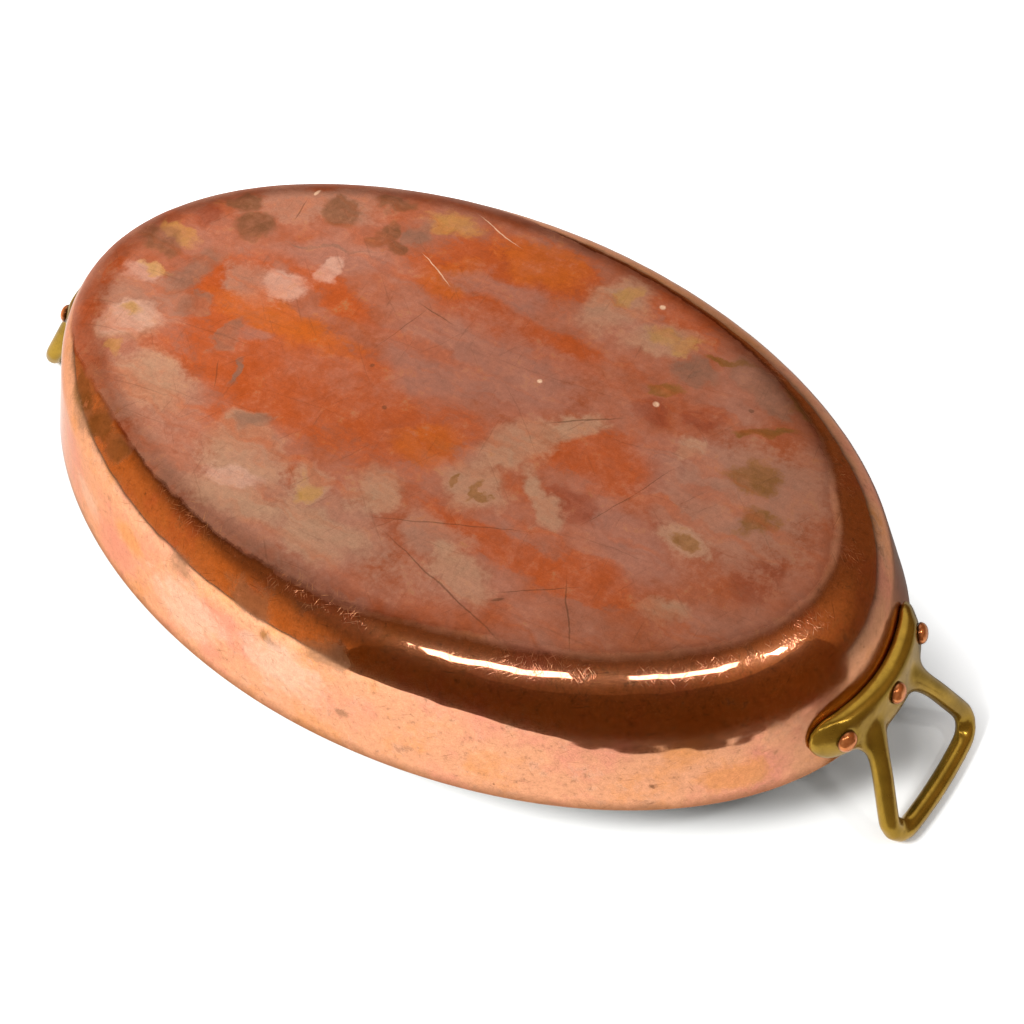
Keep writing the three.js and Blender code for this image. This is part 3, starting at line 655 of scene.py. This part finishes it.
# Rivets: copper domes, dark round the foot where polish and dirt collect
rivetLook = dict(colour="#D07840", worn="#E89458", foot="#4A2A18", roughness=0.15, film=0.72)
rivet = dict(spacing=25.3 * mm, height=13.8 * mm, shank=2.6 * mm, head=4.2 * mm, rise=3 * mm, peen=4.6 * mm,
             peenRise=1.4 * mm, brow=0.2 * mm, steps=40, domeRows=12, domeWear=0.8)


def makeRivetCopper(look):
    material, tree, output = startMaterial("rivet_copper")
    where = addNode(tree, "ShaderNodeTexCoord").outputs["Object"]
    climb = addNode(tree, "ShaderNodeAttribute", attribute_name="climb").outputs["Fac"]
    cloud = addNode(tree, "ShaderNodeTexNoise", {"Vector": where, "Scale": 1 / (2 * mm), "Detail": 4.0})
    share = addNode(tree, "ShaderNodeMapRange", {"Value": cloud, "From Min": 0.35, "From Max": 0.65})
    worn = addNode(tree, "ShaderNodeMix", {
        "Factor": share, "A": linearColour(look["colour"]), "B": linearColour(look["worn"])}, data_type="RGBA")
    foot = addNode(tree, "ShaderNodeMapRange", {
        "Value": climb, "From Min": 0.02, "From Max": 0.3, "To Min": 0.9, "To Max": 0.0})
    colour = addNode(tree, "ShaderNodeMix", {
        "Factor": foot, "A": worn, "B": linearColour(look["foot"])}, data_type="RGBA")
    rough = addNode(tree, "ShaderNodeMapRange", {
        "Value": cloud, "To Min": look["roughness"] - 0.05, "To Max": look["roughness"] + 0.1})
    shader = addNode(tree, "ShaderNodeBsdfPrincipled", {
        "Base Color": colour, "Metallic": look["film"], "Roughness": rough})
    tree.links.new(shader.outputs["BSDF"], output.inputs["Surface"])
    return material


rivetCopper = makeRivetCopper(rivetLook)


def wallPlace(y, height):
    inset = height * math.tan(pan["lean"])
    a, b = pan["halfLength"] - inset, pan["halfWidth"] - inset
    x = a * (1 - abs(y / b) ** pan["ovalPower"]) ** (1 / pan["ovalPower"])
    return Vector((x, y, height))


def makeRivet(name, node, y, turn):
    tiny = 0.05 * mm
    along = wallPlace(y + tiny, rivet["height"]) - wallPlace(y - tiny, rivet["height"])
    up = wallPlace(y, rivet["height"] + tiny) - wallPlace(y, rivet["height"] - tiny)
    axis = along.cross(up).normalized()
    place = wallPlace(y, rivet["height"])
    # The CAD rivet's reach along its own axis gives the seats of head and peened end
    corners = [Vector(v.co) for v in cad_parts[node].data.vertices]
    level = Matrix.Rotation(turn, 4, "Z") @ Matrix.Translation((0, 0, rimZ))
    origin = level @ place
    outward = level.to_3x3() @ axis
    reach = [(c - origin).dot(outward) for c in corners]
    top, foot = max(reach), min(reach)
    seat = top - rivet["rise"]
    peenSeat = foot + rivet["peenRise"]
    points = [(0, foot, 0.2), (0.6 * rivet["peen"], foot + rivet["brow"], 0.2),
              (0.9 * rivet["peen"], peenSeat - 0.5 * mm, 0.1),
              (rivet["peen"], peenSeat, 0.0), (rivet["shank"], peenSeat, 0.0), (rivet["shank"], seat, 0.0),
              (rivet["head"] - 0.15 * mm, seat, 0.0), (rivet["head"], seat + rivet["brow"], 0.02)]
    # A dome worn a little flat on top
    for i in range(1, rivet["domeRows"] + 1):
        angle = math.pi / 2 * i / rivet["domeRows"]
        height = seat + rivet["brow"] + (rivet["rise"] - rivet["brow"]) * math.sin(angle)
        points.append((rivet["head"] * math.cos(angle) ** rivet["domeWear"], height, i / rivet["domeRows"]))
    bm = spinSection(points, 0.0, rivet["steps"])[0]
    seatTurn = Vector((0, 0, 1)).rotation_difference(outward).to_matrix().to_4x4()
    bmesh.ops.transform(bm, matrix=Matrix.Translation(origin) @ seatTurn, verts=bm.verts)
    return finishPiece(name, bm, rivetCopper, node)


for end, turn in (("right", 0), ("left", math.pi)):
    for spot, y in (("near", -rivet["spacing"]), ("middle", 0), ("far", rivet["spacing"])):
        makeRivet(f"copper_rivet_{end}_{spot}", f"rivet_{end}_{spot}", y, turn)
print("rivets made")


# Stage: a white sheet, a dark flag that only reflections see, and soft lamps
sheetLook = dict(
    white="#F4F4F2", size=4.0, nearGlow=0.05, farGlow=0.85,
    shadowMiddle=(0.0, -0.02, 0.0), shadowReach=(0.3, 0.13, 1.0),
    mirrorGlow=0.0, leftGlow=0.06, leftEdge=-0.15, shadeStart=0.03, shadeEnd=0.13, shadeLeft=-0.2, shade=0.35,
)
# foot is the flag's lower edge in mm: the edge of the white sheet as it shows in the polished wall
flagLook = dict(
    colour="#5A3A18", glow=1.1, endGlow=1.5, endStart=255 * mm, endStop=295 * mm,
    middle=(0.1, -0.05), inset=0.08, least=0.12, start=0.08, rise=1.05,
    foot=[(-130, -640), (40, -640), (125, -490), (146, -290), (165, -208), (200, -181), (236, -150), (260, -118),
          (283, -78), (293, -40), (284, 20)],
)


def stagePiece(name, bm, material):
    material.cycles.emission_sampling = "NONE"
    piece = placeMesh(name, bm, material)
    return piece


def makeSheet(look):
    material, tree, output = startMaterial("white_sheet")
    path = addNode(tree, "ShaderNodeLightPath")
    where = addNode(tree, "ShaderNodeTexCoord").outputs["Object"]
    spot = addNode(tree, "ShaderNodeSeparateXYZ", {"Vector": where})
    # Painted shade: glow seen only by the camera, weak under the pan and strong round it, makes the shadow deep under
    # it and lost round it
    under = addNode(tree, "ShaderNodeMapping", {
        "Vector": where, "Location": look["shadowMiddle"], "Scale": look["shadowReach"]}, vector_type="TEXTURE")
    fall = addNode(tree, "ShaderNodeTexGradient", {"Vector": under}, gradient_type="SPHERICAL")
    seen = addNode(tree, "ShaderNodeMapRange", {
        "Value": fall.outputs["Fac"], "From Min": 0.27, "From Max": 0.04, "To Min": look["nearGlow"],
        "To Max": look["farGlow"]})
    # Painted light: in reflections only, the sheet glows too, more on the left
    onLeft = addNode(tree, "ShaderNodeMapRange", {
        "Value": spot.outputs["X"], "From Max": look["leftEdge"], "To Min": look["mirrorGlow"],
        "To Max": look["leftGlow"]})
    mirrored = addNode(tree, "ShaderNodeMath", {0: path.outputs["Is Glossy Ray"], 1: onLeft}, operation="MULTIPLY")
    strength = addNode(tree, "ShaderNodeMath", {
        0: path.outputs["Is Camera Ray"], 1: seen, 2: mirrored}, operation="MULTIPLY_ADD")
    lit = addNode(tree, "ShaderNodeBsdfDiffuse", {"Color": linearColour(look["white"])})
    glow = addNode(tree, "ShaderNodeEmission", {"Color": (1, 1, 1, 1), "Strength": strength})
    bright = addNode(tree, "ShaderNodeAddShader", {0: lit, 1: glow})
    # and in reflections only, behind the pan on the right, it is darkened: painted shade
    behind = addNode(tree, "ShaderNodeMapRange", {
        "Value": spot.outputs["Y"], "From Min": look["shadeStart"], "From Max": look["shadeEnd"],
        "To Max": look["shade"]}, interpolation_type="SMOOTHSTEP")
    onRight = addNode(tree, "ShaderNodeMapRange", {
        "Value": spot.outputs["X"], "From Min": look["shadeLeft"], "From Max": 0.0})
    inShade = addNode(tree, "ShaderNodeMath", {0: behind, 1: onRight}, operation="MULTIPLY")
    dim = addNode(tree, "ShaderNodeMath", {0: inShade, 1: path.outputs["Is Glossy Ray"]}, operation="MULTIPLY")
    black = addNode(tree, "ShaderNodeEmission", {"Color": (0, 0, 0, 1), "Strength": 0.0})
    mixed = addNode(tree, "ShaderNodeMixShader", {0: dim, 1: bright, 2: black})
    tree.links.new(mixed.outputs["Shader"], output.inputs["Surface"])
    bm = bmesh.new()
    bmesh.ops.create_grid(bm, x_segments=1, y_segments=1, size=look["size"])
    stagePiece("white_sheet", bm, material)


def makeFlag(look):
    material, tree, output = startMaterial("dark_flag")
    # Painted light: the flag glows brown, and its right end glows more
    spot = addNode(tree, "ShaderNodeSeparateXYZ", {"Vector": addNode(tree, "ShaderNodeTexCoord").outputs["Object"]})
    lit = addNode(tree, "ShaderNodeMapRange", {
        "Value": spot.outputs["X"], "From Min": look["endStart"], "From Max": look["endStop"], "To Min": look["glow"],
        "To Max": look["endGlow"]})
    glow = addNode(tree, "ShaderNodeEmission", {"Color": linearColour(look["colour"]), "Strength": lit})
    tree.links.new(glow.outputs["Emission"], output.inputs["Surface"])
    bm = bmesh.new()
    chain = [bm.verts.new((x * mm, y * mm, 0.0)) for x, y in look["foot"]]
    edges = [bm.edges.new(pair) for pair in zip(chain, chain[1:])]
    lifted = bmesh.ops.extrude_edge_only(bm, edges=edges)["geom"]
    for vert in [part for part in lifted if isinstance(part, bmesh.types.BMVert)]:
        away = math.hypot(vert.co.x - look["middle"][0], vert.co.y - look["middle"][1]) - look["inset"]
        vert.co.z = look["start"] + look["rise"] * max(look["least"], away)
    flag = stagePiece("dark_flag", bm, material)
    flag.visible_camera = False
    flag.visible_diffuse = False
    flag.visible_shadow = False


def addLamp(name, spot, towards, across, size, power, glossy):
    lamp = bpy.data.lights.new(name, "AREA")
    lamp.shape = "RECTANGLE"
    lamp.size, lamp.size_y = size
    lamp.energy = power
    holder = bpy.data.objects.new(name, lamp)
    scene.collection.objects.link(holder)
    out = (spot - towards).normalized()
    side = (across - out * across.dot(out)).normalized()
    holder.matrix_world = Matrix.Translation(spot) @ Matrix((side, out.cross(side), out)).transposed().to_4x4()
    holder.visible_glossy = glossy


makeSheet(sheetLook)
makeFlag(flagLook)
# The key stands over the left of the front
key = dict(spot=aim(-20, 50) * 1.3, towards=Vector((0, 0, 0.05)), size=(0.4, 0.36), power=20.0)
addLamp("key", key["spot"], key["towards"], Vector((0, 1, 0)), key["size"], key["power"], False)
# Two strips in one line make the bright line on the front edge: place along the line, length, depth and power
strips = dict(edge=Vector((0.10, -0.08, 0.085)), turn=math.radians(38), reach=0.37, rise=0.9,
              left=(-0.318, 0.404, 0.13, 1.1), right=(0.238, 0.40, 0.105, 0.9))
stripLine = Vector((math.cos(strips["turn"]), math.sin(strips["turn"]), 0))
stripMiddle = strips["edge"] + aim(30, 0) * strips["reach"] + Vector((0, 0, strips["rise"]))
for end in ("left", "right"):
    along, length, depth, power = strips[end]
    addLamp(f"strip_{end}", stripMiddle + stripLine * along, strips["edge"], stripLine, (length, depth), power, True)
# A small window on the right gives handles and rivets their highlights
window = dict(spot=aim(95, 52) * 1.2, towards=Vector((0.2, 0, 0.05)), size=(0.1, 0.1), power=1.1)
addLamp("window", window["spot"], window["towards"], Vector((0, 1, 0)), window["size"], window["power"], True)

# What reflections see: a brown room, paler low on the left, and the white sweep behind
roomLook = dict(room=(0.17, 0.08, 0.028, 1), plain=(0.12, 0.12, 0.12, 1), white=(1, 1, 1, 1))
roomLights = [
    dict(turn=-142, lift=47, inner=14, outer=34, colour=(1.25, 1.2, 1.15, 1)),
    dict(turn=-85, lift=2, inner=16, outer=43, colour=(0.62, 0.31, 0.1, 1)),
    dict(turn=-45, lift=2, inner=16, outer=43, colour=(0.62, 0.31, 0.1, 1)),
    dict(turn=104, lift=46, inner=10, outer=38, colour=(0.34, 0.17, 0.053, 1)),
]
world = bpy.data.worlds.new("studio")
scene.world = world
world.use_nodes = True
world.cycles.sampling_method = "NONE"
sky = world.node_tree
sky.nodes.clear()
skyPath = addNode(sky, "ShaderNodeLightPath")
gaze = addNode(sky, "ShaderNodeTexCoord").outputs["Generated"]
seenColour = roomLook["room"]
for light in roomLights:
    near = addNode(sky, "ShaderNodeVectorMath", {
        0: gaze, 1: aim(light["turn"], light["lift"])}, operation="DOT_PRODUCT")
    share = addNode(sky, "ShaderNodeMapRange", {
        "Value": near, "From Min": math.cos(math.radians(light["outer"])),
        "From Max": math.cos(math.radians(light["inner"]))}, interpolation_type="SMOOTHSTEP")
    seenColour = addNode(sky, "ShaderNodeMix", {
        "Factor": share, "A": seenColour, "B": light["colour"]}, data_type="RGBA")
glossyColour = addNode(sky, "ShaderNodeMix", {
    "Factor": skyPath.outputs["Is Glossy Ray"], "A": roomLook["plain"], "B": seenColour}, data_type="RGBA")
skyColour = addNode(sky, "ShaderNodeMix", {
    "Factor": skyPath.outputs["Is Camera Ray"], "A": glossyColour, "B": roomLook["white"]}, data_type="RGBA")
background = addNode(sky, "ShaderNodeBackground", {"Color": skyColour, "Strength": 1.0})
skyOut = sky.nodes.new("ShaderNodeOutputWorld")
sky.links.new(background.outputs["Background"], skyOut.inputs["Surface"])
print("stage set")
